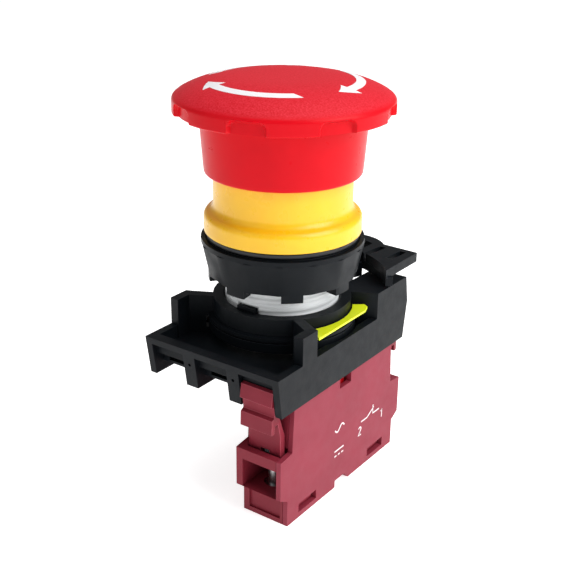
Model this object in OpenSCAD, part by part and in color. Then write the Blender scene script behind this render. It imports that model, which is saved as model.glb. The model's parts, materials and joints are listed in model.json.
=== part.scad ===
// Emergency stop push button for a 22 mm panel hole: twist-release mushroom head, collar,
// ring nut, latching mounting base for three contact blocks, and one normally closed block.
// Z runs up the barrel axis. Z = 0 is the plane where the collar meets the panel.
// -Y is the front, where the wires enter. +X is the side with the contact block's cover.

/* [Head] */
// Diameter of the mushroom head
head_d = 40; // [38:0.5:42]
// Height of the dome above the rim's upper edge
dome_h = 2.9; // [2:0.1:4]
// Depth of the finger notches in the rim
notch_depth = 0.9; // [0.5:0.1:1.2]
// Number of finger notches
notch_count = 8; // [4:1:10]
// Travel of the head when it is pressed
press_travel = 5; // [3:0.5:5]

/* [Collar and barrel] */
// Outer diameter of the collar where it meets the panel
collar_d = 29.4; // [29:0.2:30]
// Outer diameter of the threaded barrel
barrel_d = 21.7; // [21.3:0.1:21.8]
// Bore of the threaded barrel
barrel_bore_d = 16; // [15:0.5:16.5]

/* [Ring nut] */
// Diameter over the nut's upper rim
nut_top_d = 30.5; // [30:0.5:31.5]
// Diameter over the nut's lower end
nut_low_d = 28; // [27.5:0.5:28.5]
// Number of castellation teeth
nut_teeth = 8; // [6:1:10]

/* [Mounting base] */
// Width of the base across the contact block positions
base_w = 30.4; // [30.2:0.1:31]
// Length of the base from front to rear
base_l = 44.2; // [44:0.2:46]
// Distance from one contact block position to the next
block_pitch = 10; // [9.9:0.05:10.1]

/* [Contact block] */
// Width of the contact block
block_w = 10; // [9.6:0.1:10]
// Depth of the block below the panel plane
block_bottom = 49.8; // [49.4:0.1:51]

/* [Hidden] */
$fn = 96;
eps = 0.01;
fit = 0.05;

head_r = head_d / 2;
rim_low = 22.0;
rim_high = 25.6;
rim_round = 0.7;
skirt_bottom = 11.0;
skirt_low_r = 14.55;
skirt_high_r = 15.3;
skirt_bore_r = 13.3;
boss_r = 5.2;
boss_bottom = 14.5;
stem_r = 3.0;
stem_top = 21.0;

collar_r = collar_d / 2;
neck_r = 12.9;
collar_top = 14.0;
collar_step = 3.9;
barrel_r = barrel_d / 2;
bore_r = barrel_bore_d / 2;
barrel_top = 9.0;
barrel_bottom = -16.2;
keyway_top = -12.1;
shelf_t = 1.2;
gasket_t = 1.15;
washer_t = 0.8;

nut_top = -1.3;
nut_bottom = -8.1;
nut_tooth = 1.45;

ring_top = -13.1;
key_top = -12.35;
ring_bottom = -17.2;
ring_r = 13.2;
rail_z = -18.4;
base_z = -26.2;
wing_top = -13.1;
tray_floor = -20.9;
slot_roof = -21.9;
pocket_roof = -19.7;
cross_wall_end = -24.2;
wall_t = 1.4;
wing_t = 1.9;
rib_t = 2.7;
end_slant = 1.2;
tray_y = 19.9;
slot_y = 17.4;
cross_wall_y = 18.9;
pocket_y = 20.5;
groove_r = 14.6;
groove_top = -17.3;
groove_bottom = -19.6;
half_w = base_w / 2;
half_l = base_l / 2;
slot_edges = [
    [-half_w + wall_t, -block_pitch / 2 - rib_t / 2],
    [-block_pitch / 2 + rib_t / 2, block_pitch / 2 - rib_t / 2],
    [block_pitch / 2 + rib_t / 2, half_w - wall_t]
];

plate_top = -9.3;
plate_t = 1.9;
plate_arc_r = 20;
latch_ring_r = 14.1;
latch_ring_bore_r = 12.3;
slide_top = -15.2;
slide_t = 0.5;

block_x0 = 15 - block_w;
cover_t = 1.0;
cover_gap = 0.1;
cover_x = 15 - cover_t;
housing_x1 = cover_x - cover_gap;
block_mid = 10.1;
block_top = -26.4;
ear_y = 20.8;
ear_top = -35.3;
ear_low = -43.2;
foot_y = 18.6;
shoulder_y = 17.3;
pivot = [17.6, -35.95];
pin_r = 0.5;
foot_r = 0.95;
lever_x0 = 6.6;
lever_x1 = 13.55;
contact_z = -37.9;
strip_t = 0.8;
bridge_t = 0.6;
tip_t = 0.5;
screw_y = 15.8;
driver_bore_r = 2.0;
shank_r = 1.2;
strip_end = [-38.2, -37.5];
clamp_z = [-38.95, -38.3];
chamber_y = 11.5;
chamber_floor = -46.8;
pocket = [6.4, 13.9, -43.2, -37.4];

red = "#d8202c";
yellow = "#f7c62e";
black = "#2b2f33";
white = "#eceef0";
lime = "#d7ea2c";
maroon = "#a2404f";
bright_red = "#cc1522";
steel = "#b9bcc0";
brass = "#c8a24a";
silver = "#dcdde0";
rubber = "#1a1a1b";

// A tube with a true inner and outer wall
module tube(r_out, r_in, z0, z1) {
    translate([0, 0, z0]) difference() {
        cylinder(r = r_out, h = z1 - z0);
        translate([0, 0, -1]) cylinder(r = r_in, h = z1 - z0 + 2);
    }
}

// A box given by its low and high corners
module box(low, high) {
    translate(low) cube(high - low);
}

// An outline in Y and Z, carried along X from x0 to x1
module slab_yz(x0, x1, points) {
    translate([x0, 0, 0]) rotate([90, 0, 90]) linear_extrude(x1 - x0) polygon(points);
}

// A round bar along X
module bar_x(x0, x1, r, y, z) {
    translate([x0, y, z]) rotate([0, 90, 0]) cylinder(r = r, h = x1 - x0, $fn = 32);
}

function on_circle(r, a, c = [0, 0]) = [c[0] + r * cos(a), c[1] + r * sin(a)];
function arc(r, a0, a1, n, c = [0, 0]) = [for (i = [0:n]) on_circle(r, a0 + (a1 - a0) * i / n, c)];

// A round wire wound on a helix: rings of points along it, joined into one closed skin
module coil(r, wire_r, turns, z0, z1, steps = 12, sides = 6) {
    n = round(turns * steps);
    rise = z1 - z0 - 2 * wire_r;
    points = [
        for (i = [0:n]) let (a = 360 * turns * i / n, z = z0 + wire_r + rise * i / n)
        for (k = [0:sides - 1]) let (b = 360 * k / sides, w = r + wire_r * cos(b))
        [w * cos(a), w * sin(a), z + wire_r * sin(b)]
    ];
    ends = [
        [for (k = [0:sides - 1]) k],
        [for (k = [0:sides - 1]) n * sides + sides - 1 - k]
    ];
    skin = [
        for (i = [0:n - 1]) for (k = [0:sides - 1]) let (m = (k + 1) % sides)
        [i * sides + k, (i + 1) * sides + k, (i + 1) * sides + m, i * sides + m]
    ];
    polyhedron(points, concat(ends, skin), convexity = 8);
}

// ---- Head: everything that is pressed or twisted ----

dome_edge_r = head_r - rim_round;
function dome_z(r) = rim_high - rim_round * 0.4 + dome_h * (1 - pow(r / dome_edge_r, 4));

// A finger notch with rounded upper corners, open at the rim's lower edge
module notch() {
    half = 3.3;
    corner = 1.25;
    top = rim_high - 1.3;
    low = rim_low - 1;
    translate([head_r - notch_depth, 0, 0]) rotate([90, 0, 90]) linear_extrude(3) polygon(concat(
        [[-half, low], [half, low]],
        arc(corner, 0, 90, 6, [half - corner, top - corner]),
        arc(corner, 90, 180, 6, [-half + corner, top - corner])
    ));
}

module mushroom_cap() {
    dome = [for (i = [0:14]) let (r = dome_edge_r * i / 14) [r, dome_z(r)]];
    edge = arc(rim_round, 60, 0, 4, [head_r - rim_round, rim_high - 1.4]);
    color(red) difference() {
        union() {
            rotate_extrude() polygon(concat(dome, edge, [
                [head_r, rim_low + 0.3], [head_r - 0.3, rim_low], [skirt_high_r, rim_low],
                [skirt_low_r, skirt_bottom + 0.3], [skirt_low_r - 0.3, skirt_bottom],
                [skirt_bore_r, skirt_bottom], [skirt_bore_r, rim_low - 0.4], [0, rim_low + 0.6]
            ]));
            translate([0, 0, boss_bottom]) cylinder(r = boss_r, h = rim_low + 1.5 - boss_bottom);
        }
        translate([0, 0, boss_bottom - 1]) cylinder(r = stem_r + fit, h = stem_top + fit - boss_bottom + 1);
        for (i = [0:notch_count - 1]) rotate([0, 0, -27.5 + i * 360 / notch_count]) notch();
    }
}

stem_flange_z = -3.2;
stem_flange_r = 6.9;
spigot_r = 2.2;
bar_top = -17.4;
bar_bottom = -19.4;
clip_t = 0.8;

module push_stem() {
    color(white) union() {
        translate([0, 0, bar_top]) cylinder(r = stem_r, h = stem_top - bar_top);
        translate([0, 0, stem_flange_z]) cylinder(r = stem_flange_r, h = 1.2);
        translate([0, 0, bar_bottom - clip_t - 0.5]) cylinder(r = spigot_r, h = 4);
    }
}

// Rotates with the head: a ring groove takes the latch pins when the head is down, and
// two slanted ramps push them out again when it is twisted
module cam_sleeve() {
    top = boss_bottom - 0.1;
    groove_z = 2.5 + press_travel;
    color(white) difference() {
        tube(6.2, stem_r + 0.08, 4.0, top);
        tube(7, 5.3, groove_z - 1.1, groove_z + 1.1);
        for (a = [0, 180]) rotate([0, 0, a]) translate([5.2, 0, groove_z + 2])
            rotate([25, 0, 0]) box([0, -1, -2], [2, 1, 2]);
    }
}

module torsion_spring() {
    color(steel) coil(6.1, 0.3, 3, rim_low - 3.6, rim_low - 0.5);
}

module return_spring() {
    color(steel) coil(5.6, 0.4, 6, barrel_bottom + shelf_t + 0.05, stem_flange_z - 0.05);
}

module actuator_bar() {
    color(white) difference() {
        intersection() {
            box([-11.8, -3.4, bar_bottom], [11.8, 3.4, bar_top]);
            translate([0, 0, bar_bottom - 1]) cylinder(r = 11.8, h = 4);
        }
        translate([0, 0, bar_bottom - 1]) cylinder(r = spigot_r + fit, h = 4);
    }
}

module retaining_clip() {
    color(steel) difference() {
        tube(3.8, spigot_r + fit, bar_bottom - clip_t, bar_bottom - 0.03);
        box([-0.9, -5, bar_bottom - 1], [0.9, 0, bar_bottom + 1]);
    }
}

// ---- Operator body: held in the panel ----

module collar() {
    shoulder_r = 1.3;
    turn = 70;
    shoulder = arc(shoulder_r, turn, 0, 5, [collar_r - shoulder_r, collar_step - shoulder_r]);
    neck_fillet = (shoulder[0][0] - neck_r) / (1 - cos(turn));
    neck_round = arc(neck_fillet, 180, 180 + turn, 5, [neck_r + neck_fillet, shoulder[0][1] + neck_fillet * sin(turn)]);
    top_round = arc(0.5, 90, 0, 3, [neck_r - 0.5, collar_top - 0.5]);
    outline = concat(
        [[8.2, collar_top]], top_round, neck_round, [for (i = [1:5]) shoulder[i]],
        [[collar_r, 0], [barrel_r + fit, 0], [barrel_r + fit, barrel_top + 0.2], [8.2, barrel_top + 0.2]]
    );
    color(yellow) rotate_extrude() polygon(outline);
}

module stem_seal() {
    color(rubber) tube(8.15, 6.4, 12.4, 13.7);
}

module gasket() {
    color(rubber) tube(14.3, barrel_r + 0.1, -gasket_t, -eps);
}

pin_hole_r = 0.95;
latch_pin_z = 2.5;

module threaded_barrel() {
    color(white) difference() {
        union() {
            tube(barrel_r, bore_r, barrel_bottom, barrel_top);
            tube(bore_r + 1, stem_r + 0.06, barrel_bottom, barrel_bottom + shelf_t);
        }
        box([-2.2, -barrel_r - 1, barrel_bottom - 1], [2.2, -barrel_r + 0.7, keyway_top]);
        for (a = [0, 180]) rotate([0, 0, a]) bar_x(bore_r - 1, barrel_r - 0.6, pin_hole_r, 0, latch_pin_z);
    }
}

module latch_pins() {
    color(steel) for (a = [0, 180]) rotate([0, 0, a]) bar_x(6.45, 9.0, 0.9, 0, latch_pin_z);
}

module latch_pin_springs() {
    color(steel) for (a = [0, 180]) rotate([0, 0, a])
        translate([0, 0, latch_pin_z]) rotate([0, 90, 0]) coil(0.6, 0.12, 3, 9.03, barrel_r - 0.65, 8);
}

washer_top = -gasket_t - 0.05;
module clamp_washer() {
    color(black) tube(14.2, barrel_r + 0.06, washer_top - washer_t, washer_top);
}

// A sixteen-sided taper below a round rim, with teeth for the fixing tool underneath
module ring_nut() {
    facets = 16;
    rim_h = 0.9;
    top_r = nut_top_d / 2;
    low_r = nut_low_d / 2;
    corner = 1 / cos(180 / facets);
    body_h = nut_top - rim_h - nut_bottom;
    taper = (low_r * corner) / (top_r * corner);
    tooth_half = 8.2;
    tooth_turn = -2;
    color(black) difference() {
        union() {
            translate([0, 0, nut_top - rim_h]) cylinder(r = top_r, h = rim_h);
            translate([0, 0, nut_top - rim_h]) mirror([0, 0, 1])
                linear_extrude(body_h, scale = taper)
                    polygon([for (i = [0:facets - 1]) on_circle(top_r * corner - 0.1, (i + 0.5) * 360 / facets)]);
            for (i = [0:nut_teeth - 1]) rotate([0, 0, tooth_turn + i * 360 / nut_teeth]) intersection() {
                tube(low_r, 11.6, nut_bottom - nut_tooth, nut_bottom + 0.5);
                translate([0, 0, nut_bottom - 3]) linear_extrude(5)
                    polygon([[0, 0], on_circle(20, -tooth_half), on_circle(20, tooth_half)]);
            }
        }
        translate([0, 0, nut_bottom - 3]) cylinder(r = barrel_r + 0.06, h = 12);
        translate([0, 0, washer_top - washer_t - 0.05]) cylinder(r = 14.5, h = 4);
    }
}

// ---- Mounting base ----

// One bent wing wall: a piece along the side, then a leg that runs in to the ring
module wing() {
    leg = [10.2, 7.8];
    points = [
        [half_w - wing_t, 15.0], [half_w, 14.8], [half_w, 10.3], [half_w - 1, 9.9],
        leg, [leg[0] - 1.0, leg[1] + 1.6], [half_w - wing_t, 11.7]
    ];
    translate([0, 0, tray_floor - eps]) linear_extrude(wing_top - tray_floor) polygon(points);
}

// The solid corner under the lever, with a rear face that leans out towards the rail
module cheek() {
    plan = [
        [half_w, 10.3], [half_w - 1, 9.9], [10.2, 7.8], [7.4, 10.6], [7.7, 20.6], [8.2, 23], [half_w, 23]
    ];
    intersection() {
        translate([0, 0, tray_floor - 1]) linear_extrude(wing_top - tray_floor + 2) polygon(plan);
        slab_yz(5, half_w + 1, [
            [5, tray_floor - eps], [21.5, tray_floor - eps], [half_l - 0.03, rail_z], [21.2, wing_top], [5, wing_top]
        ]);
    }
}

module mounting_base() {
    front = [[-half_l, rail_z], [half_l, rail_z], [half_l - end_slant, base_z], [-half_l + end_slant, base_z]];
    color(black) difference() {
        union() {
            difference() {
                slab_yz(-half_w, half_w, front);
                box([-half_w + 1.6, -tray_y, tray_floor], [half_w - 1.6, tray_y, 0]);
            }
            for (m = [[1, 0, 0], [0, 0, 0]], n = [[0, 1, 0], [0, 0, 0]])
                if (m != [0, 0, 0] || n != [0, 0, 0]) mirror(m) mirror(n) wing();
            cheek();
            translate([0, 0, ring_bottom]) cylinder(r = ring_r, h = ring_top - ring_bottom);
            translate([0, 0, ring_bottom]) cylinder(r = 14.2, h = 0.7);
            box([-1.95, -barrel_r - 0.6, ring_top - 1], [1.95, -barrel_r + 0.45, key_top]);
        }
        difference() {
            union() {
                translate([0, 0, ring_bottom - 1]) cylinder(r = barrel_r + 0.1, h = key_top - ring_bottom + 2);
                translate([0, 0, ring_top - 0.35]) cylinder(r1 = barrel_r + 0.1, r2 = barrel_r + 0.6, h = 0.5);
            }
            box([-2, -barrel_r - 2, ring_bottom - 2], [2, -barrel_r + 0.5, key_top + 2]);
        }
        tube(groove_r, barrel_r - 1, groove_bottom, groove_top + eps);
        translate([0, 0, groove_bottom]) cylinder(r = barrel_r + 0.1, h = groove_top - groove_bottom + 1);
        box([-12.7, -4.7, base_z - 1], [12.7, 4.7, tray_floor + 1]);
        for (s = slot_edges) {
            box([s[0], -slot_y, base_z - 1], [s[1], slot_y, slot_roof]);
            box([s[0], -pocket_y - 0.1, base_z - 1], [s[1], pocket_y + 0.1, cross_wall_end]);
            for (side = [-1, 1]) {
                mid = (s[0] + s[1]) / 2;
                box([s[0], min(side * pocket_y, side * 24), base_z - 1],
                    [s[1], max(side * pocket_y, side * 24), pocket_roof]);
                box([s[0], min(side * cross_wall_y, side * 22), base_z - 1], [s[1], max(side * cross_wall_y, side * 22), slot_roof]);
                box([mid - 2.2, min(side * 17.9, side * 22), -23.7], [mid + 2.2, max(side * 17.9, side * 22), slot_roof - 0.2]);
            }
        }
        for (x = [-block_pitch / 2, block_pitch / 2]) translate([x, -half_l - 1, -21.5])
            rotate([-90, 0, 0]) cylinder(r = 0.32, h = 2.4, $fn = 24);
    }
}

// The finger plate: a round lobe behind the nut and a square end flush with the base's side
module finger_plate() {
    lobe = [1.5, 20.4];
    difference() {
        translate([0, 0, plate_top - plate_t]) linear_extrude(plate_t) difference() {
            union() {
                translate(lobe) circle(r = 7.7);
                polygon([[lobe[0], 20], [half_w - 0.2, 13.0], [half_w - 0.2, 25.4], [7.0, 25.6], [lobe[0], 28]]);
            }
            polygon([[0.6, 26.0], [5.0, 24.7], [5.0, 21.4]]);
            polygon([[6.5, 18.7], [7.9, 18.7], [8.6, 24.1], [7.2, 24.1]]);
            polygon([[11.4, 18.8], [12.8, 18.8], [13.2, 24.1], [11.8, 24.1]]);
        }
        difference() {
            translate([0, 0, -14]) cylinder(r = plate_arc_r, h = 6);
            linear_extrude(40, center = true) polygon([[0, 0], on_circle(50, 76), on_circle(50, 96), [0, 0]]);
        }
        translate([0, 0, -14]) cylinder(r = 17.2, h = 6);
    }
}

module latch_lever() {
    root = [80, 92];
    web_in = 17.4;
    web_out = 19.6;
    ring_low = groove_bottom + 0.25;
    ring_high = groove_top - 0.25;
    color(black) union() {
        finger_plate();
        difference() {
            tube(latch_ring_r, latch_ring_bore_r, ring_low, ring_high);
            for (a = [45:90:315]) rotate([0, 0, a]) box([9, -1.5, -30], [latch_ring_bore_r + 0.8, 1.5, 0]);
        }
        sector(root, 13.5, web_out, ring_low + 0.1, ring_high - 0.1);
        sector([70, 84], web_in + 0.05, web_out - 0.15, -14, plate_top - plate_t + 0.15);
        sector([root[0] + 0.5, root[1] - 0.5], web_in, web_out - 0.1, ring_low + 0.4, plate_top - plate_t + 0.2);
        sector([43, 79], plate_arc_r + 0.1, plate_arc_r + 1.5, wing_top + 0.25, plate_top - plate_t + 0.2);
    }
}

// A sector of a ring between two angles
module sector(angles, r_in, r_out, z0, z1) {
    translate([0, 0, z0]) rotate([0, 0, angles[0]])
        rotate_extrude(angle = angles[1] - angles[0]) translate([r_in, 0]) square([r_out - r_in, z1 - z0]);
}

// A thin plate whose hollow edge follows the ring, seen through the opening in the side
module locking_slide() {
    outer_x = half_w - 0.35;
    color(lime) translate([0, 0, slide_top - slide_t]) linear_extrude(slide_t) difference() {
        polygon([
            [10.4, -7.3], [outer_x, -9.3], [outer_x, 6.4], [outer_x - 0.6, 8.1], [outer_x - 1.6, 8.7], [10.4, 6.5]
        ]);
        circle(r = ring_r + 0.25);
    }
}

// ---- Contact block ----

// Half the block's outline seen from the side, from the top middle down to the foot
half_outline = [
    [16.8, block_top], [shoulder_y, ear_top + 0.4], [ear_y, ear_top], [ear_y, ear_low],
    [foot_y, ear_low - 1.2], [foot_y, -block_bottom]
];
foot_notch = [[2.0, -block_bottom], [0.9, -48.3], [-2.7, -48.3], [-2.7, -block_bottom]];
function mirrored(points) = [for (i = [len(points) - 1:-1:0]) [-points[i][0], points[i][1]]];
block_outline = concat(half_outline, foot_notch, mirrored(half_outline));

module housing_half(side) {
    y = side * screw_y;
    near = min(side * 12.7, side * 22);
    far = max(side * 12.7, side * 22);
    box([pocket[0], near, pocket[2]], [pocket[1] + 0.2, far, pocket[3]]);
    translate([block_mid, y, -block_bottom - 1]) cylinder(r = driver_bore_r, h = block_bottom + pocket[2] + 1.4, $fn = 48);
    box([lever_x0 - 0.2, min(side * 16.3, side * 19.5), pivot[1] - foot_r - 0.1],
        [cover_x, max(side * 16.3, side * 19.5), ear_top + 1]);
    box([6.3, min(side * 18.2, side * 19.5), -48.8], [13.3, max(side * 18.2, side * 19.5), -45.0]);
    box([block_mid - 2.4, min(side * 11, side * 14), -38.4], [block_mid + 2.4, max(side * 11, side * 14), -36.4]);
    bar_x(block_x0 + 0.2, 15, pin_r + fit, side * pivot[0], pivot[1]);
}

module block_housing() {
    color(maroon) difference() {
        union() {
            slab_yz(block_x0, housing_x1, block_outline);
            for (side = [-1, 1]) {
                box([6.65, min(side * 5.4, side * 16.6), block_top - 1], [13.5, max(side * 5.4, side * 16.6), -22.3]);
                box([housing_x1 - 1, side * 12.1 - 2.3, -48.0], [cover_x + 0.2, side * 12.1 + 2.3, -47.3]);
            }
        }
        box([block_x0 + 1.2, -chamber_y, chamber_floor], [cover_x, chamber_y, -30.5]);
        box([6.8, -2.0, -31], [cover_x, 2.0, -20]);
        for (side = [-1, 1]) housing_half(side);
    }
}

// The flat cover carries the block's markings; its windows take the housing's snap lugs
module block_cover() {
    lug = [12.1, 2.9];
    color(maroon) difference() {
        slab_yz(cover_x, 15, block_outline);
        box([cover_x - 1, -2.0, -28.4], [16, 1.9, -20]);
        for (side = [-1, 1]) {
            box([cover_x - 1, side * lug[0] - lug[1], -48.7], [16, side * lug[0] + lug[1], -46.8]);
            bar_x(cover_x - 1, cover_x + 0.55, pin_r + fit, side * pivot[0], pivot[1]);
        }
    }
}

// The lever's outline: a hook at the top, a grip that curls over and hangs free, and a foot on the pin
lever_front = [
    [20.65, -21.3], [21.3, -21.6], [21.75, -24.2], [21.2, -24.35], [20.9, -24.9], [20.75, -26.6],
    [21.5, -27.0], [21.6, -29.8], [20.75, -29.8], [20.7, -28.3], [19.75, -28.3], [19.4, -29.6],
    [19.0, -31.2], [19.0, -35.2]
];
lever_back = [[17.65, -35.1], [17.65, -31.5], [18.9, -28.2], [19.5, -26.6], [19.5, -24.5], [20.65, -24.4]];

module release_lever(side) {
    foot = arc(foot_r, 0, -180, 8, pivot);
    outline = concat(lever_front, foot, lever_back);
    signed = [for (p = outline) [side * p[0], p[1]]];
    mid = (slot_edges[2][0] + slot_edges[2][1]) / 2;
    color(maroon) difference() {
        union() {
            slab_yz(lever_x0, lever_x1, signed);
            box([mid - 1.8, min(side * 18.3, side * 20.9), -23.3], [mid + 1.8, max(side * 18.3, side * 20.9), -22.4]);
        }
        bar_x(0, 20, pin_r + fit, side * pivot[0], pivot[1]);
        box([9.1, min(side * 16, side * 20), pivot[1] - 2], [11.1, max(side * 16, side * 20), pivot[1] + 1.2]);
    }
}

module front_release_lever() release_lever(-1);

module rear_release_lever() release_lever(1);

module lever_pins() {
    color(steel) for (side = [-1, 1]) bar_x(block_x0 + 0.3, cover_x + 0.45, pin_r, side * pivot[0], pivot[1]);
}

// Wire torsion springs round the lever pins
module lever_springs() {
    color(steel) for (side = [-1, 1]) translate([0, side * pivot[0], pivot[1]]) rotate([0, 90, 0])
        coil(0.74, 0.16, 3, 9.3, 10.9, 10);
}

module plunger() {
    post = [8.2, 12.0];
    color(bright_red) union() {
        box([post[0], -1.6, -26], [post[1], 1.6, bar_bottom - 0.2]);
        box([7.0, -1.8, -30.4], [13.5, 1.8, -25.5]);
        box([post[0] + 0.6, -1.4, contact_z - tip_t], [post[1] - 0.6, 1.4, -30]);
    }
}

bridge_top = contact_z - 0.05 - tip_t;
tip_y = 6.4;

module contact_bridge() {
    color(brass) box([block_mid - 1.8, -7.6, bridge_top - bridge_t], [block_mid + 1.8, 7.6, bridge_top - 0.02]);
}

module bridge_tips() {
    color(silver) for (side = [-1, 1]) translate([block_mid, side * tip_y, bridge_top])
        cylinder(r = 1.3, h = tip_t, $fn = 32);
}

module contact_spring() {
    color(steel) translate([block_mid, 0, 0])
        coil(2.0, 0.22, 4, chamber_floor + 0.05, bridge_top - bridge_t - 0.05, 12);
}

// A stepped brass strip: screw end in the terminal pocket, contact end over the bridge
module terminal(side) {
    step = 12.9;
    high = contact_z + tip_t;
    color(brass) difference() {
        scale([1, side, 1]) union() {
            box([block_mid - 1.8, 4.9, high], [block_mid + 1.8, step, high + strip_t]);
            box([block_mid - 1.8, step - 0.8, strip_end[0]], [block_mid + 1.8, step, high + strip_t]);
            box([block_mid - 1.8, step - 0.1, strip_end[0]], [block_mid + 1.8, 13.6, strip_end[1]]);
            box([block_mid - 3.2, 13.5, strip_end[0]], [block_mid + 3.2, 19.2, strip_end[1]]);
        }
        translate([block_mid, side * screw_y, -40]) cylinder(r = shank_r + 0.15, h = 4, $fn = 48);
    }
}

module front_terminal() terminal(-1);

module rear_terminal() terminal(1);

module fixed_tips() {
    color(silver) for (side = [-1, 1]) translate([block_mid, side * tip_y, contact_z])
        cylinder(r = 1.3, h = tip_t - 0.02, $fn = 32);
}

// The plate that presses the wires up against the strip
module clamp_plate(side) {
    color(steel) translate([block_mid, side * screw_y, 0]) difference() {
        box([-3.2, -2.9, clamp_z[0]], [3.2, 2.9, clamp_z[1]]);
        translate([0, 0, clamp_z[0] - 1]) cylinder(r = shank_r + fit, h = 4, $fn = 48);
    }
}

module front_clamp_plate() clamp_plate(-1);

module rear_clamp_plate() clamp_plate(1);

// The screw turns in place: its head stays in the driver bore, and its shank passes plate and strip
module terminal_screw(side) {
    head_r = driver_bore_r - 0.1;
    head_top = pocket[2] - 0.25;
    head_t = 1.65;
    cross_half = 1.3;
    color(steel) translate([block_mid, side * screw_y, 0]) difference() {
        union() {
            translate([0, 0, head_top - head_t]) cylinder(r = head_r, h = head_t, $fn = 48);
            translate([0, 0, head_top - eps]) cylinder(r = shank_r, h = strip_end[1] - head_top - 0.1, $fn = 48);
        }
        for (arm = [[cross_half, 0.3], [0.3, cross_half]])
            box([-arm[0], -arm[1], head_top - 3], [arm[0], arm[1], head_top - 0.9]);
    }
}

module front_terminal_screw() terminal_screw(-1);

module rear_terminal_screw() terminal_screw(1);

mushroom_cap();
push_stem();
cam_sleeve();
torsion_spring();
return_spring();
actuator_bar();
retaining_clip();
collar();
stem_seal();
gasket();
threaded_barrel();
latch_pins();
latch_pin_springs();
clamp_washer();
ring_nut();
mounting_base();
latch_lever();
locking_slide();
block_housing();
block_cover();
front_release_lever();
rear_release_lever();
lever_pins();
lever_springs();
plunger();
contact_bridge();
bridge_tips();
contact_spring();
front_terminal();
rear_terminal();
fixed_tips();
front_clamp_plate();
rear_clamp_plate();
front_terminal_screw();
rear_terminal_screw();
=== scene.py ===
import json
import math

import bmesh
import bpy
import numpy as np
from mathutils import Matrix, Vector


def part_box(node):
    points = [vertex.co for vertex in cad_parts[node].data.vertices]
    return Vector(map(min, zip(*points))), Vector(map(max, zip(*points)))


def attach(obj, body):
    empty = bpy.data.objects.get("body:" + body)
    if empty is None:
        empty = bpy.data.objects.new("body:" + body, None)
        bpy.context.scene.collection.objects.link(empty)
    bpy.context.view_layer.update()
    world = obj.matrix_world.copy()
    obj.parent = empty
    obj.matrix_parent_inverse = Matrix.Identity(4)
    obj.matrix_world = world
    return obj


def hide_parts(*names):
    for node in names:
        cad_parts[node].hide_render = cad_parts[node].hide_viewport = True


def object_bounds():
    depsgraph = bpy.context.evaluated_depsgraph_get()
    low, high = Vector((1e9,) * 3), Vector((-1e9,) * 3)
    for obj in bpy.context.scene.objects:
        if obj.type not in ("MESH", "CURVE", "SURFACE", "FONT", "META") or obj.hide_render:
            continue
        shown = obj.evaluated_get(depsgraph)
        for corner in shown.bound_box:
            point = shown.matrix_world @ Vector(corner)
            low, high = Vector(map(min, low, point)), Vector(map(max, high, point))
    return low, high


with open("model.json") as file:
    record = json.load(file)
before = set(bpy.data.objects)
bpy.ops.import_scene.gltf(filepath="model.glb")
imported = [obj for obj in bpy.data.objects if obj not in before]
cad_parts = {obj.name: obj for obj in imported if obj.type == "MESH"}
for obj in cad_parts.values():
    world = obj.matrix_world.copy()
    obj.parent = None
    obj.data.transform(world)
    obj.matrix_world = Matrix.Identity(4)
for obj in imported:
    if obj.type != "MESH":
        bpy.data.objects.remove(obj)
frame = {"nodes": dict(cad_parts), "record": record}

bl_info = {
    "name": "Emergency stop button",
    "version": (1, 0, 0),
    "blender": (4, 5, 0),
    "location": "View3D > Sidebar > Stop button",
    "description": "Builds a twist-release emergency stop button, its materials and its stage",
    "category": "Object",
}

MM = 0.001
CAD_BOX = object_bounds()
BODIES = frame["record"]["behaviour"]["bodies"]
BODY_OF = {node: body for body, nodes in BODIES.items() for node in nodes}
SAME_POINT = 0.0005 * MM


def linear(colour):
    """A colour written as sRGB hex, as linear red, green, blue and alpha."""
    parts = np.array([int(colour[i:i + 2], 16) for i in (1, 3, 5)]) / 255
    low = parts / 12.92
    high = ((parts + 0.055) / 1.055) ** 2.4
    return (*np.where(parts <= 0.04045, low, high).tolist(), 1.0)


# ---- Meshes ----

def linked(mesh):
    """A new object of the mesh's name, in the scene."""
    piece = bpy.data.objects.new(mesh.name, mesh)
    bpy.context.scene.collection.objects.link(piece)
    return piece


def closed_mesh(name, points, faces):
    """A smooth mesh object from points in mm and four-cornered faces.

    Doubles are merged and the faces look outwards.
    """
    mesh = bpy.data.meshes.new(name)
    mesh.from_pydata((points * MM).tolist(), [], faces.tolist())
    solid = bmesh.new()
    solid.from_mesh(mesh)
    bmesh.ops.remove_doubles(solid, verts=solid.verts, dist=SAME_POINT)
    if solid.calc_volume(signed=True) < 0:
        bmesh.ops.reverse_faces(solid, faces=solid.faces)
    solid.to_mesh(mesh)
    solid.free()
    mesh.polygons.foreach_set("use_smooth", [True] * len(mesh.polygons))
    mesh.set_sharp_from_angle(angle=math.radians(40))
    return linked(mesh)


def grid_faces(rows, columns, wrap_rows=False, wrap_columns=False, first=0):
    """The faces of a grid of points, row by row. A wrapped side joins its last line to its first.

    first is the number of the grid's first point.
    """
    row = np.arange(rows if wrap_rows else rows - 1)[:, None]
    column = np.arange(columns if wrap_columns else columns - 1)[None, :]
    next_row, next_column = (row + 1) % rows, (column + 1) % columns
    corners = [row * columns + column, next_row * columns + column,
               next_row * columns + next_column, row * columns + next_column]
    shape = (row.size, column.size)
    corners = [np.broadcast_to(corner, shape) for corner in corners]
    return first + np.stack(corners, -1).reshape(-1, 4)


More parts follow.
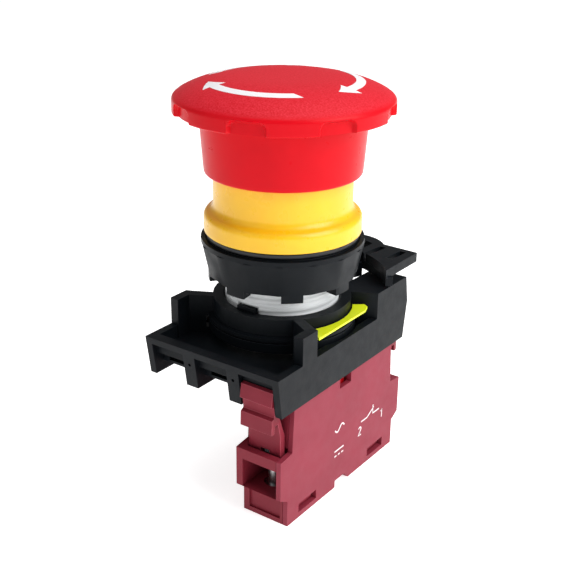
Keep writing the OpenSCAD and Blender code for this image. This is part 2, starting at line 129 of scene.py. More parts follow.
def turned(name, profile, steps, shape=None):
    """A turned piece: a closed outline of (radius, height) carried round Z.

    Point (i, j) is at angle 2 pi j / steps, at the radius and height of outline point i. shape
    takes radius, height and angle as arrays and gives the radius that is used instead.
    """
    angle = np.linspace(0, 2 * np.pi, steps, endpoint=False)[None, :]
    radius = np.broadcast_to(profile[:, :1], (len(profile), steps))
    height = np.broadcast_to(profile[:, 1:], (len(profile), steps))
    if shape is not None:
        radius = shape(radius, height, angle)
    points = np.stack([radius * np.cos(angle), radius * np.sin(angle), height], -1).reshape(-1, 3)
    faces = grid_faces(len(profile), steps, wrap_rows=True, wrap_columns=True)
    return closed_mesh(name, points, faces)


def line(start, end, steps):
    """Points on a straight stretch of an outline, without its last one."""
    share = np.linspace(0, 1, steps, endpoint=False)[:, None]
    return np.array(start) * (1 - share) + np.array(end) * share


def bend(centre, radius, start, end, steps=6):
    """Points on a round corner of an outline, from start to end in degrees.

    Each is the centre plus the radius times (cos, sin).
    """
    angle = np.radians(np.linspace(start, end, steps + 1))
    return np.array(centre) + radius * np.stack([np.cos(angle), np.sin(angle)], -1)


def soft_step(value, low, high):
    """0 below low, 1 above high, and the smooth curve 3t^2 - 2t^3 between them."""
    share = np.clip((value - low) / (high - low), 0, 1)
    return share * share * (3 - 2 * share)


def strip_points(path, width, lift_axis):
    """Two lines of points, half a width to each side of a path in the plane across lift_axis."""
    along = np.gradient(path, axis=0)
    side = np.cross(along, lift_axis)
    side /= np.linalg.norm(side, axis=1)[:, None]
    return np.stack([path - side * width / 2, path + side * width / 2], 1)


def rounded_copy(node, material, edge_mm, edge_highlight_material=None, turn=32):
    """A copy of a CAD node with its triangles welded and its sharp edges rounded.

    Edges that turn by more than turn degrees get a bevel edge_mm wide, in the edge highlight
    material if there is one: a lighter colour that paints on the highlight a rounded edge catches.
    """
    source = frame["nodes"][node].data
    points = np.empty(len(source.vertices) * 3)
    corners = np.empty(len(source.loops), int)
    source.vertices.foreach_get("co", points)
    source.loops.foreach_get("vertex_index", corners)
    mesh = bpy.data.meshes.new(node + "_shell")
    mesh.from_pydata(points.reshape(-1, 3).tolist(), [], corners.reshape(-1, 3).tolist())
    solid = bmesh.new()
    solid.from_mesh(mesh)
    bmesh.ops.remove_doubles(solid, verts=solid.verts, dist=0.002 * MM)
    bmesh.ops.dissolve_limit(
        solid, angle_limit=math.radians(0.8), verts=solid.verts, edges=solid.edges)
    # A bevel can fold a large face with many corners over itself. In triangles that is rare.
    bmesh.ops.triangulate(solid, faces=[face for face in solid.faces if len(face.verts) > 4])
    solid.to_mesh(mesh)
    solid.free()
    mesh.polygons.foreach_set("use_smooth", [True] * len(mesh.polygons))
    piece = linked(mesh)
    mesh.materials.append(material)
    bevel = piece.modifiers.new("rounded_edges", "BEVEL")
    bevel.width = edge_mm * MM
    bevel.segments = 2
    bevel.limit_method = "ANGLE"
    bevel.angle_limit = math.radians(turn)
    bevel.use_clamp_overlap = True
    bevel.harden_normals = True
    bevel.miter_outer = "MITER_ARC"
    if edge_highlight_material is not None:
        mesh.materials.append(edge_highlight_material)
        bevel.material = 1
    return stand_for(piece, node)


def stand_for(piece, node):
    """The piece takes the CAD node's place and body, and the node is hidden."""
    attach(piece, BODY_OF[node])
    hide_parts(node)
    return piece


# ---- Materials ----

def add_node(tree, kind, settings=None, inputs=None):
    """Adds a node with its settings, and its inputs as values or as sockets to link from."""
    node = tree.nodes.new(kind)
    for name, value in (settings or {}).items():
        setattr(node, name, value)
    for name, value in (inputs or {}).items():
        if isinstance(value, bpy.types.NodeSocket):
            tree.links.new(value, node.inputs[name])
        else:
            node.inputs[name].default_value = value
    return node


def new_material(name, shader_inputs):
    """An empty material with a Principled shader and object coordinates.

    Returns the material, its tree, the shader and the coordinates' socket.
    """
    material = bpy.data.materials.new(name)
    material.use_nodes = True
    tree = material.node_tree
    tree.nodes.clear()
    shader = add_node(tree, "ShaderNodeBsdfPrincipled", inputs=shader_inputs)
    add_node(tree, "ShaderNodeOutputMaterial", inputs={"Surface": shader.outputs["BSDF"]})
    coordinates = add_node(tree, "ShaderNodeTexCoord").outputs["Object"]
    return material, tree, shader, coordinates


def noise(tree, coordinates, size_mm, detail=2.0, rough=0.5):
    """A noise whose blotches are about size_mm across, as a socket from 0 to 1."""
    node = add_node(tree, "ShaderNodeTexNoise", inputs={
        "Vector": coordinates, "Scale": 1 / (size_mm * MM), "Detail": detail, "Roughness": rough})
    return node.outputs["Fac"]


def spread(tree, value, low, high):
    """Carries a socket's middle range, 0.3 to 0.7, to low and high."""
    node = add_node(tree, "ShaderNodeMapRange", inputs={
        "Value": value, "From Min": 0.3, "From Max": 0.7, "To Min": low, "To Max": high})
    return node.outputs["Result"]


def tint(tree, share, first, second):
    """The colour first where share is 0 and second where it is 1, as a socket."""
    node = add_node(tree, "ShaderNodeMix", {"data_type": "RGBA"})
    for socket, value in ((0, share), (6, first), (7, second)):
        if isinstance(value, bpy.types.NodeSocket):
            tree.links.new(value, node.inputs[socket])
        else:
            node.inputs[socket].default_value = value
    return node.outputs[2]


def shade(colour, factor):
    """A linear colour made lighter or darker, with alpha."""
    return (*[min(1.0, part * factor) for part in colour[:3]], 1.0)


def bumped(tree, shader, height, depth_mm, strength):
    """Gives the shader's surface a relief depth_mm deep."""
    bump = add_node(tree, "ShaderNodeBump", inputs={
        "Height": height, "Distance": depth_mm * MM, "Strength": strength})
    tree.links.new(bump.outputs["Normal"], shader.inputs["Normal"])


def moulded(name, colour, roughness, grain_mm, grain_depth_mm, mottle=0.06, ior=1.5, gloss=0.5):
    """Injection-moulded plastic: the eroded tool leaves fine grain, and the flow faint blotches."""
    material, tree, shader, at = new_material(name, {"IOR": ior, "Specular IOR Level": gloss})
    blotch = spread(tree, noise(tree, at, 7.0, detail=3), 0, 1)
    base = tint(tree, blotch, shade(colour, 1 - mottle), shade(colour, 1 + mottle))
    tree.links.new(base, shader.inputs["Base Color"])
    patch = spread(tree, noise(tree, at, 2.2, detail=4), roughness - 0.05, roughness + 0.06)
    tree.links.new(patch, shader.inputs["Roughness"])
    bumped(tree, shader, noise(tree, at, grain_mm, detail=3, rough=0.6), grain_depth_mm, 1.0)
    return material


def head_abs(settings):
    """Glossy ABS with a matte dome.

    The dome is spark eroded and matte. Its grain is painted between a darker red and a pale
    painted sheen, which stands in for the light that the matte dome scatters. The rim and skirt
    come from polished steel and stay smoother. Real erosion grain is 0.05 mm. It is drawn wider
    so that it shows.
    """
    grain_mm, dome_roughness = 0.32, 0.46
    colour = settings.colour
    material, tree, shader, at = new_material("head_abs", {"IOR": 1.54, "Specular IOR Level": 0.1})
    height = add_node(tree, "ShaderNodeSeparateXYZ", inputs={"Vector": at}).outputs["Z"]
    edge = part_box("mushroom_cap")[1].z - settings.dome_height
    dome = add_node(tree, "ShaderNodeMapRange", inputs={
        "Value": height, "From Min": edge - 0.5 * MM,
        "From Max": edge + 0.15 * MM}).outputs["Result"]
    flow = spread(tree, noise(tree, at, 9.0, detail=3), 0, 1)
    side = tint(tree, flow, shade(colour, 0.94), shade(colour, 1.05))
    grain = noise(tree, at, grain_mm, detail=2, rough=0.7)
    # Painted sheen: the pale colour mixed into the dome's grain stands in for light that the matte
    # dome scatters.
    sheen = (*settings.dome_painted_sheen_colour, 1.0)
    frosted_with_painted_sheen = tint(tree, spread(tree, grain, 0, 1), shade(colour, 0.9), sheen)
    tree.links.new(tint(tree, dome, side, frosted_with_painted_sheen), shader.inputs["Base Color"])
    gloss = spread(tree, noise(tree, at, 3.0, detail=4), 0.27, 0.36)
    rough = add_node(tree, "ShaderNodeMix", inputs={0: dome, 2: gloss, 3: dome_roughness})
    tree.links.new(rough.outputs[0], shader.inputs["Roughness"])
    depth = add_node(tree, "ShaderNodeMapRange", inputs={
        "Value": dome, "To Min": 0.15, "To Max": 0.8}).outputs["Result"]
    bumped(tree, shader, grain, 0.02, depth)
    return material


def rubber(name, colour):
    """Moulded nitrile rubber: dark, with a soft gloss and a faint bloom."""
    return moulded(name, colour, 0.42, 0.6, 0.006, mottle=0.2, ior=1.52)


def pad_print(name, colour):
    """Pad-printed ink: an even matte film with a few thin spots."""
    return moulded(name, colour, 0.5, 0.4, 0.002, mottle=0.02, ior=1.48)


def metal(name, colour, roughness, grain_mm, stretch):
    """Plated or stamped metal. Rolling or drawing leaves fine streaks along the piece."""
    material, tree, shader, at = new_material(name, {"Metallic": 1.0})
    mapped = add_node(tree, "ShaderNodeMapping", inputs={"Vector": at, "Scale": stretch})
    streak = noise(tree, mapped.outputs["Vector"], grain_mm, detail=4, rough=0.6)
    stain = spread(tree, noise(tree, at, 1.6, detail=3), 0, 1)
    base = tint(tree, stain, shade(colour, 0.82), shade(colour, 1.06))
    tree.links.new(base, shader.inputs["Base Color"])
    rough = spread(tree, streak, roughness - 0.08, roughness + 0.1)
    tree.links.new(rough, shader.inputs["Roughness"])
    bumped(tree, shader, streak, 0.004, 0.6)
    return material


def kept(name, make, *values, **named):
    """The material of that name, made the first time that a piece asks for it."""
    found = bpy.data.materials.get(name)
    return found if found is not None else make(name, *values, **named)


# ---- Settings ----

def colour_setting(name, description, colour):
    """A colour property whose default is written as sRGB hex."""
    return bpy.props.FloatVectorProperty(
        name=name, description=description, subtype="COLOR", size=3, min=0, max=1,
        default=linear(colour)[:3])


def length_setting(name, description, length_mm):
    """A length property whose default is written in mm."""
    return bpy.props.FloatProperty(
        name=name, description=description, default=length_mm * MM, unit="LENGTH")


def angle_setting(name, description, degrees):
    """An angle property whose default is written in degrees."""
    return bpy.props.FloatProperty(
        name=name, description=description, default=math.radians(degrees), subtype="ANGLE")


class HeadSettings(bpy.types.PropertyGroup):
    """Sizes and colours of the mushroom head."""
    colour: colour_setting("Head colour", "Colour of the moulded head", "#d60a1a")
    # Painted sheen: this pale colour is mixed into the dome's grain to stand in for scattered
    # light.
    dome_painted_sheen_colour: colour_setting("Dome sheen", "Pale side of the dome's frosted grain", "#e0303f")
    arrow_colour: colour_setting("Arrow colour", "Colour of the printed release arrows", "#f4f2f4")
    dome_height: length_setting("Dome height", "Height of the dome over its edge", 2.9)
    notch_depth: length_setting("Notch depth", "Depth of the finger notches", 0.9)
    notch_width: length_setting("Notch width", "Width of one finger notch", 6.6)
    notches: bpy.props.IntProperty(
        name="Notches", description="Finger notches round the rim", default=8)
    arrows: bpy.props.IntProperty(
        name="Arrows", description="Release arrows on the dome", default=3)


class BodySettings(bpy.types.PropertyGroup):
    """Sizes and colours of the collar, gasket, barrel and nut."""
    collar_colour: colour_setting("Collar colour", "Colour of the moulded collar", "#fdc316")
    barrel_colour: colour_setting("Barrel colour", "Colour of the threaded barrel", "#e6e9ea")
    nut_colour: colour_setting("Nut colour", "Colour of the ring nut and washer", "#101418")
    thread_pitch: length_setting("Thread pitch", "Rise of the thread in one turn", 1.5)
    thread_depth: length_setting("Thread depth", "Depth of the thread", 0.22)


class BaseSettings(bpy.types.PropertyGroup):
    """Sizes and colours of the mounting base, its lever and its slide."""
    colour: colour_setting("Base colour", "Colour of the moulded base", "#0f1317")
    # Painted highlight: this lighter colour on the rounded edges stands in for the light that they
    # catch.
    edge_highlight_colour: colour_setting("Edge colour", "Colour of the highlit, rounded edges", "#1d2228")
    slide_colour: colour_setting("Slide colour", "Colour of the locking slide", "#e6f51e")
    edge: length_setting("Edge radius", "Width of the rounded edges", 0.22)


class BlockSettings(bpy.types.PropertyGroup):
    """Sizes and colours of the contact block."""
    colour: colour_setting("Block colour", "Colour of the moulded housing", "#852836")
    cover_colour: colour_setting("Cover colour", "Colour of the moulded cover", "#8f3141")
    # Painted highlight: this lighter maroon on the rounded edges stands in for the light that they
    # catch.
    edge_highlight_colour: colour_setting("Edge colour", "Colour of the rounded edges", "#a5404f")
    plunger_colour: colour_setting("Plunger colour", "Colour of the plunger", "#c40d1a")
    print_colour: colour_setting("Print colour", "Colour of the printed symbols", "#efe6e8")
    edge: length_setting("Edge radius", "Width of the rounded edges", 0.2)


class StageSettings(bpy.types.PropertyGroup):
    """Where the camera stands, and how bright the light is."""
    azimuth: angle_setting("Azimuth", "Camera's turn from the front", 35.32)
    elevation: angle_setting("Elevation", "Camera's height angle", 22.62)
    roll: angle_setting("Roll", "Camera's tilt", 0.72)
    distance: length_setting("Distance", "Camera's distance from its aim", 197.84)
    lens: bpy.props.FloatProperty(
        name="Lens", description="Focal length in millimetres", default=65.16)
    floor_colour: colour_setting("Floor colour", "Colour of the plain floor", "#f6f6f6")
    brightness: bpy.props.FloatProperty(
        name="Brightness", description="Strength of the lamps and the air", default=1.0)


SETTINGS = {"head": HeadSettings, "operator": BodySettings, "base": BaseSettings,
            "block": BlockSettings, "stage": StageSettings}


def settings_of(context, name):
    """The settings group of that name."""
    return getattr(context.scene, "estop_" + name)


# ---- Operators: the head ----

HEAD_LOW, HEAD_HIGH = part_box("mushroom_cap")
HEAD_R = HEAD_HIGH.x / MM
DOME_TOP = HEAD_HIGH.z / MM
SKIRT_END = HEAD_LOW.z / MM
RIM_ROUND = 0.7
NOTCH_TURN = -27.5
INK_LIFT = 0.015


def dome_height_at(radius, rise):
    """The dome's height in mm at a radius: it falls by the fourth power, by rise at its edge."""
    return DOME_TOP - rise * (radius / (HEAD_R - RIM_ROUND)) ** 4


class ESTOP_OT_head(bpy.types.Operator):
    """Build the mushroom head with its dome, notched rim, skirt and inner boss"""
    bl_idname = "estop.head"
    bl_label = "Mushroom head"

    def execute(self, context):
        settings = settings_of(context, "head")
        rise = settings.dome_height / MM
        edge_r = HEAD_R - RIM_ROUND
        edge_z = DOME_TOP - rise
        rim_low = 22.0
        skirt_high_r, skirt_low_r, skirt_bore_r = 15.27, 14.57, 13.3
        boss_r, boss_bore_r, boss_low, boss_bore_top = 5.2, 3.05, 14.5, 21.0
        dome_r = np.linspace(0, edge_r - 0.3, 30)
        outline = np.concatenate([
            np.stack([dome_r, dome_height_at(dome_r, rise)], -1),
            bend((HEAD_R - 1.1, edge_z - 1.12), 1.1, 54, 0, 14),
            line((HEAD_R, edge_z - 1.2), (HEAD_R, rim_low + 0.3), 18),
            bend((HEAD_R - 0.3, rim_low + 0.3), 0.3, 0, -90, 5),
            line((HEAD_R - 0.4, rim_low), (15.9, rim_low), 5),
            bend((15.75, rim_low - 0.45), 0.45, 90, 180, 5),
            line((skirt_high_r, rim_low - 0.6), (skirt_low_r, SKIRT_END + 0.6), 10),
            bend((14.0, SKIRT_END + 0.55), 0.55, 0, -90, 7),
            bend((13.55, SKIRT_END + 0.25), 0.25, -90, -180, 4),
            line((skirt_bore_r, SKIRT_END + 0.4), (skirt_bore_r, rim_low - 0.8), 6),
            line((skirt_bore_r - 0.3, rim_low - 0.3), (boss_r, rim_low + 0.4), 5),
            line((boss_r, rim_low + 0.3), (boss_r, boss_low), 5),
            line((boss_r - 0.3, boss_low), (boss_bore_r, boss_low), 3),
            line((boss_bore_r, boss_low + 0.1), (boss_bore_r, boss_bore_top), 4),
            np.array([[2.6, boss_bore_top + 0.05], [0, boss_bore_top + 0.05]]),
        ])
        half = settings.notch_width / MM / 2
        floor_r = HEAD_R - settings.notch_depth / MM
        top, corner, blend = edge_z - 1.02, 1.25, 0.22
        pitch = 2 * np.pi / settings.notches

        def notched(radius, height, angle):
            """Pulls the rim in to the notch floor, in a rectangle with rounded upper corners."""
            turn = (angle - math.radians(NOTCH_TURN) + pitch / 2) % pitch - pitch / 2
            across = np.abs(turn * HEAD_R) - (half - corner)
            above = height - (top - corner)
            outside = np.hypot(np.maximum(across, 0), np.maximum(above, 0))
            outside = outside + np.minimum(np.maximum(across, above), 0)
            inside = 1 - soft_step(outside - corner, -blend, blend)
            rim = (height > rim_low - 0.02) & (height < edge_z + 1) & (radius > floor_r)
            return np.where(rim, radius - (radius - floor_r) * inside, radius)

        cap = turned("head_shell", outline, 720, notched)
        cap.data.materials.append(head_abs(settings))
        stand_for(cap, "mushroom_cap")
        return {"FINISHED"}


class ESTOP_OT_arrows(bpy.types.Operator):
    """Print the clockwise release arrows on the dome"""
    bl_idname = "estop.arrows"
    bl_label = "Release arrows"

    def execute(self, context):
        settings = settings_of(context, "head")
        rise = settings.dome_height / MM
        middle_r, tail_half, head_half = 13.5, 0.85, 2.1
        tail, sweep, head_share = math.radians(-44.5), math.radians(87.5), 0.83
        tail_steps, head_steps = 60, 16
        along = np.concatenate([
            np.linspace(0, head_share, tail_steps), np.linspace(head_share, 1, head_steps)])
        head = head_half * (1 - along) / (1 - head_share)
        half = np.where(np.arange(along.size) < tail_steps, tail_half, head)
        across = np.linspace(-1, 1, 9)[None, :]
        radius = middle_r + half[:, None] * across
        slant = 0.05 * across * np.clip(1 - along[:, None] / 0.12, 0, 1)
        angle = tail + slant - sweep * along[:, None]
        height = dome_height_at(radius, rise) + INK_LIFT
        points, faces = [], []
        for number in range(settings.arrows):
            turn = angle + 2 * np.pi * number / settings.arrows
            arrow = np.stack([radius * np.cos(turn), radius * np.sin(turn), height], -1)
            points.append(arrow.reshape(-1, 3))
            faces.append(grid_faces(*radius.shape, first=number * radius.size)[:, ::-1])
        ink = kept("arrow_ink", pad_print, settings.arrow_colour)
        printed("release_arrows", points, faces, Vector((0, 0, 1)), ink, "mushroom_cap")
        return {"FINISHED"}


def printed(name, points, faces, outwards, ink, node):
    """A film of ink on a CAD node, from lists of points in mm and faces, on the outwards side."""
    mesh = bpy.data.meshes.new(name)
    mesh.from_pydata((np.concatenate(points) * MM).tolist(), [], np.concatenate(faces).tolist())
    face_up(mesh, outwards)
    sheet = linked(mesh)
    film = sheet.modifiers.new("ink_film", "SOLIDIFY")
    film.thickness = 0.03 * MM
    film.offset = 1
    mesh.materials.append(ink)
    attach(sheet, BODY_OF[node])


def face_up(mesh, direction):
    """Turns every face of an open sheet to the side that direction points to."""
    sheet = bmesh.new()
    sheet.from_mesh(mesh)
    bmesh.ops.remove_doubles(sheet, verts=sheet.verts, dist=SAME_POINT)
    wrong = [face for face in sheet.faces if face.normal.dot(direction) < 0]
    bmesh.ops.reverse_faces(sheet, faces=wrong)
    sheet.to_mesh(mesh)
    sheet.free()


# ---- Operators: the collar, gasket, barrel and nut ----

class ESTOP_OT_collar(bpy.types.Operator):
    """Build the collar with its curved shoulder, and the gasket under it"""
    bl_idname = "estop.collar"
    bl_label = "Collar and gasket"

    def execute(self, context):
        settings = settings_of(context, "operator")
        foot_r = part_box("collar")[1].x / MM
        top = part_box("collar")[1].z / MM
        neck_r, bore_r, mouth_r, bore_top = 12.9, 10.95, 8.2, 9.2
        shoulder_r, shoulder_z, turn = 1.3, 2.6, 70
        lean = math.radians(turn)
        fillet = (foot_r - shoulder_r * (1 - math.cos(lean)) - neck_r) / (1 - math.cos(lean))
        fillet_z = shoulder_z + (shoulder_r + fillet) * math.sin(lean)
        outline = np.concatenate([
            bend((8.5, top - 0.3), 0.3, 180, 90, 4),
            bend((neck_r - 0.6, top - 0.6), 0.6, 90, 0, 6),
            line((neck_r, top - 0.8), (neck_r, fillet_z + 0.1), 8),
            bend((neck_r + fillet, fillet_z), fillet, 180, 180 + turn, 12),
            bend((foot_r - shoulder_r, shoulder_z), shoulder_r, turn - 6, 0, 11),
            line((foot_r, shoulder_z - 0.2), (foot_r, 0.25), 5),
            bend((foot_r - 0.2, 0.2), 0.2, 0, -90, 4),
            line((foot_r - 0.4, 0), (bore_r, 0), 5),
            line((bore_r, 0.05), (bore_r, bore_top), 5),
            line((bore_r - 0.1, bore_top), (mouth_r, bore_top), 3),
            line((mouth_r, bore_top + 0.2), (mouth_r, top - 0.4), 3),
        ])
        collar = turned("collar_shell", outline, 256)
        nylon = kept("collar_nylon", moulded, settings.collar_colour, 0.3, 0.5, 0.006)
        collar.data.materials.append(nylon)
        stand_for(collar, "collar")

        low, high = (corner.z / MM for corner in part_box("gasket"))
        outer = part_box("gasket")[1].x / MM
        lip = 0.35
        ring = np.concatenate([
            bend((outer - lip, high - lip), lip, 90, 0, 5),
            bend((outer - lip, low + lip), lip, 0, -90, 5),
            line((outer - 0.6, low), (11.0, low), 3),
            line((11.0, low + 0.1), (11.0, high), 2),
            line((11.1, high), (outer - 0.6, high), 3),
        ])
        gasket = turned("gasket_ring", ring, 192)
        gasket.data.materials.append(kept("gasket_rubber", rubber, linear("#15171a")))
        stand_for(gasket, "gasket")
        return {"FINISHED"}


class ESTOP_OT_barrel(bpy.types.Operator):
    """Build the threaded barrel with its keyway"""
    bl_idname = "estop.barrel"
    bl_label = "Threaded barrel"

    def execute(self, context):
        settings = settings_of(context, "operator")
        low, high = (corner.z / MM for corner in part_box("threaded_barrel"))
        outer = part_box("threaded_barrel")[1].x / MM
        bore, end_bore = 8.0, 3.06
        pitch, depth = settings.thread_pitch / MM, settings.thread_depth / MM
        outline = np.concatenate([
            line((outer, high), (outer, low + 0.3), 190),
            bend((outer - 0.3, low + 0.3), 0.3, 0, -90, 4),
            line((outer - 0.5, low), (end_bore, low), 6),
            line((end_bore, low + 0.1), (end_bore, low + 1.2), 2),
            line((3.2, low + 1.2), (bore, low + 1.2), 3),
            line((bore, low + 1.3), (bore, high), 6),
            line((bore + 0.1, high), (outer, high), 3),
        ])

        def threaded(radius, height, angle):
            """Cuts the thread and the keyway.

            The thread is a wave in the height over the pitch, less the turn.
            """
            wave = 0.5 - 0.5 * np.cos(2 * np.pi * height / pitch - angle)
            run = soft_step(height, low + 1.5, low + 2.4) * (1 - soft_step(height, -2.0, -1.0))
            cut = radius - depth * soft_step(wave, 0.3, 0.9) * run
            key = (1 - soft_step(np.abs(radius * np.cos(angle)), 2.1, 2.3)) * (np.sin(angle) < 0)
            key = key * (1 - soft_step(height, -12.2, -12.0))
            return np.where(radius > bore + 1, np.minimum(cut, outer - 0.7 * key), radius)

        barrel = turned("barrel_shell", outline, 256, threaded)
        nylon = kept("barrel_nylon", moulded, settings.barrel_colour, 0.4, 0.5, 0.006)
        barrel.data.materials.append(nylon)
        stand_for(barrel, "threaded_barrel")
        return {"FINISHED"}


class ESTOP_OT_nut(bpy.types.Operator):
    """Finish the ring nut and its washer"""
    bl_idname = "estop.nut"
    bl_label = "Ring nut"

    def execute(self, context):
        settings = settings_of(context, "operator")
        nylon = kept("nut_nylon", moulded, settings.nut_colour, 0.4, 0.55, 0.012,
                     mottle=0.12, gloss=0.13)
        # Painted highlight: the nut's bevels get a lighter grey for the light that the edges catch.
        edge = kept("nut_edge", moulded, linear("#1c2127"), 0.34, 0.55, 0.006,
                    mottle=0.1, gloss=0.25)
        rounded_copy("ring_nut", nylon, 0.16, edge, turn=30)
        rounded_copy("clamp_washer", nylon, 0.12)
        return {"FINISHED"}


# ---- Operators: the mounting base ----

class ESTOP_OT_base(bpy.types.Operator):
    """Finish the mounting base, the latch lever and the locking slide"""
    bl_idname = "estop.base"
    bl_label = "Mounting base"

    def execute(self, context):
        settings = settings_of(context, "base")
        nylon = kept("base_nylon", moulded, settings.colour, 0.44, 0.6, 0.014,
                     mottle=0.14, gloss=0.12)
        # Painted highlight: the bevels of the base and the lever get a lighter colour for the light
        # that the edges catch.
        edge = kept("base_edge", moulded, settings.edge_highlight_colour, 0.36, 0.6, 0.006,
                    mottle=0.1, gloss=0.22)
        rounded_copy("mounting_base", nylon, settings.edge / MM, edge)
        rounded_copy("latch_lever", nylon, settings.edge / MM, edge)
        acetal = kept("slide_acetal", moulded, settings.slide_colour, 0.34, 0.5, 0.004, mottle=0.04)
        rounded_copy("locking_slide", acetal, 0.14)
        return {"FINISHED"}


# ---- Operators: the contact block ----

class ESTOP_OT_block(bpy.types.Operator):
    """Finish the contact block's housing, cover, levers and plunger"""
    bl_idname = "estop.block"
    bl_label = "Contact block"

    def execute(self, context):
        settings = settings_of(context, "block")
        edge_mm = settings.edge / MM
        nylon = kept("block_nylon", moulded, settings.colour, 0.46, 0.5, 0.012,
                     mottle=0.08, gloss=0.16)
        cover = kept("cover_nylon", moulded, settings.cover_colour, 0.5, 0.42, 0.014,
                     mottle=0.06, gloss=0.18)
        # Painted highlight: the bevels of the housing, cover and levers get a lighter colour for
        # the light that the edges catch.
        edge = kept("block_edge", moulded, settings.edge_highlight_colour, 0.38, 0.5, 0.005, gloss=0.3)
        rounded_copy("block_housing", nylon, edge_mm, edge)
        rounded_copy("block_cover", cover, edge_mm, edge)
        for node in ("front_release_lever", "rear_release_lever"):
            rounded_copy(node, nylon, edge_mm, edge)
        acetal = kept("plunger_acetal", moulded, settings.plunger_colour, 0.3, 0.5, 0.004)
        rounded_copy("plunger", acetal, 0.15)
        return {"FINISHED"}


class ESTOP_OT_marks(bpy.types.Operator):
    """Print generic circuit symbols and terminal numbers on the block's cover"""
    bl_idname = "estop.marks"
    bl_label = "Cover symbols"

    def execute(self, context):
        settings = settings_of(context, "block")
        face_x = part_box("block_cover")[1].x / MM + INK_LIFT
        half_wave = 1.6
        wave_y = np.linspace(-half_wave, half_wave, 33)
        wave = np.stack([wave_y, 0.6 * np.sin(np.pi * wave_y / half_wave)], -1)
        bow = np.radians(np.linspace(160, -40, 12))
        bow_points = np.stack([0.45 * np.cos(bow), 0.45 * np.sin(bow) + 0.5], -1)
        two = np.concatenate([bow_points, [[-0.5, -0.85], [0.55, -0.85]]])
        one = np.array([[-0.35, 0.6], [0.1, 0.95], [0.1, -0.85]])
        contact = np.array([[-3.4, 0], [-1.2, 0], [1.3, 1.35]])
        stop = np.array([[1.0, 1.9], [1.0, 0], [3.4, 0]])
        level = np.array([[-half_wave, 0], [half_wave, 0]])
        symbol_width, number_width = 0.3, 0.28
        shapes = [
            (contact, (9.7, -39.3), symbol_width), (stop, (9.7, -39.3), symbol_width),
            (one, (14.2, -40.9), number_width), (two, (5.9, -41.3), number_width),
            (wave, (-1.6, -36.9), symbol_width), (level, (-1.6, -41.6), symbol_width),
        ]
        for shift in (-1.2, 0, 1.2):
            shapes.append((level * 0.22 + (shift, 0), (-1.6, -42.7), symbol_width))
        points, faces, count = [], [], 0
        for shape, place, width in shapes:
            flat = np.asarray(shape, float) + place
            path = np.column_stack([np.full(len(flat), face_x), flat])
            strip = strip_points(path, width, np.array([1.0, 0, 0]))
            points.append(strip.reshape(-1, 3))
            faces.append(grid_faces(len(flat), 2, first=count))
            count += len(flat) * 2
        ink = kept("cover_ink", pad_print, settings.print_colour)
        printed("cover_symbols", points, faces, Vector((1, 0, 0)), ink, "block_cover")
        return {"FINISHED"}


class ESTOP_OT_metal(bpy.types.Operator):
    """Finish the terminals, screws, clamp plates, pins and springs"""
    bl_idname = "estop.metal"
    bl_label = "Metal parts"

    def execute(self, context):
        plate = kept("zinc_plated_steel", metal, linear("#b9babb"), 0.28, 0.25, (1, 6, 6))
        brass = kept("rolled_brass", metal, linear("#c9a55c"), 0.3, 0.3, (6, 1, 6))
        silver = kept("silver_rivet", metal, linear("#e2e2df"), 0.3, 0.4, (1, 1, 1))
        wire = kept("drawn_spring_wire", metal, linear("#8f9092"), 0.32, 0.2, (1, 1, 4))
        for side in ("front", "rear"):
            rounded_copy(side + "_terminal_screw", plate, 0.1)
            rounded_copy(side + "_clamp_plate", plate, 0.12)
            rounded_copy(side + "_terminal", brass, 0.08)
        finishes = (
            (plate, ("lever_pins", "latch_pins")),
            (brass, ("contact_bridge",)),
            (silver, ("bridge_tips", "fixed_tips")),
            (wire, ("retaining_clip", "torsion_spring", "return_spring", "latch_pin_springs",
                    "lever_springs", "contact_spring")),
        )
        for material, nodes in finishes:
            for node in nodes:
                coat(node, material)
        return {"FINISHED"}


class ESTOP_OT_inner(bpy.types.Operator):
    """Finish the stem, cam sleeve, actuator bar and stem seal"""
    bl_idname = "estop.inner"
    bl_label = "Inner parts"

    def execute(self, context):
        acetal = kept("stem_acetal", moulded, linear("#e4e5e2"), 0.36, 0.5, 0.005)
        for node in ("push_stem", "cam_sleeve", "actuator_bar"):
            rounded_copy(node, acetal, 0.12)
        coat("stem_seal", kept("gasket_rubber", rubber, linear("#15171a")))
        return {"FINISHED"}


def coat(node, material):
    """Gives a CAD node's own mesh this material and nothing else."""
    mesh = frame["nodes"][node].data
    mesh.materials.clear()
    mesh.materials.append(material)


# ---- Operators: the stage ----

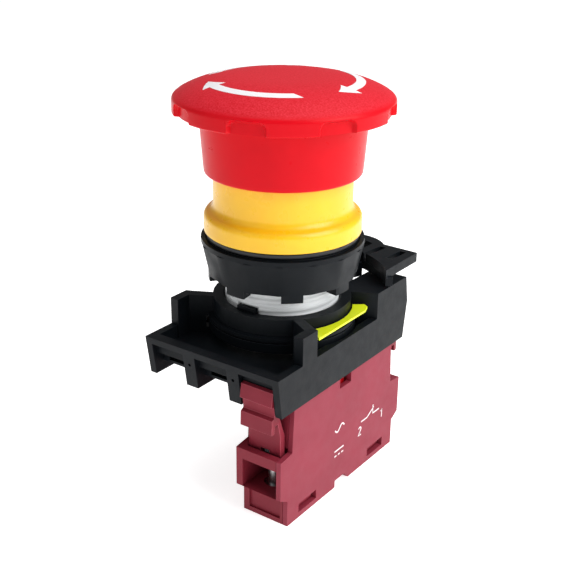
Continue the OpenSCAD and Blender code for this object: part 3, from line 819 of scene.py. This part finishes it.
class ESTOP_OT_stage(bpy.types.Operator):
    """Set the floor, the light and the camera"""
    bl_idname = "estop.stage"
    bl_label = "Stage"

    def execute(self, context):
        settings = settings_of(context, "stage")
        scene = context.scene
        scene.view_settings.view_transform = "Standard"
        floor_z, half_floor, floor_glow, air_glow = CAD_BOX[0].z, 3.0, 0.72, 0.26
        corners = [(x * half_floor, y * half_floor, floor_z)
                   for x, y in ((-1, -1), (1, -1), (1, 1), (-1, 1))]
        mesh = bpy.data.meshes.new("floor")
        mesh.from_pydata(corners, [], [(0, 1, 2, 3)])
        board = moulded("floor_board", settings.floor_colour, 0.8, 4.0, 0.02, mottle=0.005)
        glow = next(node for node in board.node_tree.nodes if node.type == "BSDF_PRINCIPLED")
        glow.inputs["Emission Color"].default_value = (1, 1, 1, 1)
        glow.inputs["Emission Strength"].default_value = floor_glow
        mesh.materials.append(board)
        floor = linked(mesh)

        world = bpy.data.worlds.new("studio_air")
        world.use_nodes = True
        background = world.node_tree.nodes["Background"]
        background.inputs["Color"].default_value = (1, 1, 1, 1)
        background.inputs["Strength"].default_value = air_glow * settings.brightness
        scene.world = world

        aim = Vector((0, 0, -12 * MM))
        # Azimuth and elevation in degrees, distance and side in metres, power in watts.
        boxes = {
            "key_softbox": (98, 36, 0.42, 0.34, 1.5),
            "front_softbox": (-25, 30, 0.5, 0.4, 0.2),
            "top_softbox": (150, 78, 0.5, 0.5, 1.3),
        }
        for name, (azimuth, elevation, reach, size, power) in boxes.items():
            lamp = bpy.data.lights.new(name, "AREA")
            lamp.size = size
            lamp.energy = power * settings.brightness
            place = bpy.data.objects.new(name, lamp)
            back = direction(math.radians(azimuth), math.radians(elevation))
            facing = back.to_track_quat("Z", "Y").to_matrix().to_4x4()
            place.matrix_world = Matrix.Translation(aim + reach * back) @ facing
            scene.collection.objects.link(place)

        back = direction(settings.azimuth, settings.elevation)
        right = Vector((math.cos(settings.azimuth), math.sin(settings.azimuth), 0))
        up = back.cross(right)
        tilted_right = math.cos(settings.roll) * right + math.sin(settings.roll) * up
        tilted_up = -math.sin(settings.roll) * right + math.cos(settings.roll) * up
        aim = 0.82 * MM * right + Vector((0, 0, -11.99 * MM))
        spot = aim + settings.distance * back
        data = bpy.data.cameras.new("camera")
        data.lens = settings.lens
        data.sensor_width = 36
        data.clip_start = 0.01
        camera = bpy.data.objects.new("camera", data)
        turn = Matrix((tilted_right, tilted_up, back)).transposed().to_4x4()
        camera.matrix_world = Matrix.Translation(spot) @ turn
        scene.collection.objects.link(camera)
        scene.camera = camera
        return {"FINISHED"}


def direction(azimuth, elevation):
    """The unit vector towards a place at that turn from the front, -Y, and at that height angle."""
    level = math.cos(elevation)
    return Vector((math.sin(azimuth) * level, -math.cos(azimuth) * level, math.sin(elevation)))


OPERATORS = (ESTOP_OT_head, ESTOP_OT_arrows, ESTOP_OT_collar, ESTOP_OT_barrel, ESTOP_OT_nut,
             ESTOP_OT_base, ESTOP_OT_block, ESTOP_OT_marks, ESTOP_OT_metal, ESTOP_OT_inner,
             ESTOP_OT_stage)


class ESTOP_PT_panel(bpy.types.Panel):
    """Lists the settings and the operators that build the button"""
    bl_label = "Stop button"
    bl_idname = "ESTOP_PT_panel"
    bl_space_type = "VIEW_3D"
    bl_region_type = "UI"
    bl_category = "Stop button"

    def draw(self, context):
        for name, group in SETTINGS.items():
            box = self.layout.box()
            box.label(text=name.capitalize())
            for key in group.__annotations__:
                box.prop(settings_of(context, name), key)
        for operator in OPERATORS:
            self.layout.operator(operator.bl_idname)


CLASSES = (*SETTINGS.values(), *OPERATORS, ESTOP_PT_panel)


def register():
    for item in CLASSES:
        bpy.utils.register_class(item)
    for name, group in SETTINGS.items():
        setattr(bpy.types.Scene, "estop_" + name, bpy.props.PointerProperty(type=group))


def unregister():
    for name in SETTINGS:
        delattr(bpy.types.Scene, "estop_" + name)
    for item in reversed(CLASSES):
        bpy.utils.unregister_class(item)


def main():
    """Builds every piece and the stage."""
    register()
    for operator in OPERATORS:
        getattr(bpy.ops.estop, operator.bl_idname.split(".")[1])()
    bpy.context.view_layer.update()


if __name__ == "__main__":
    main()
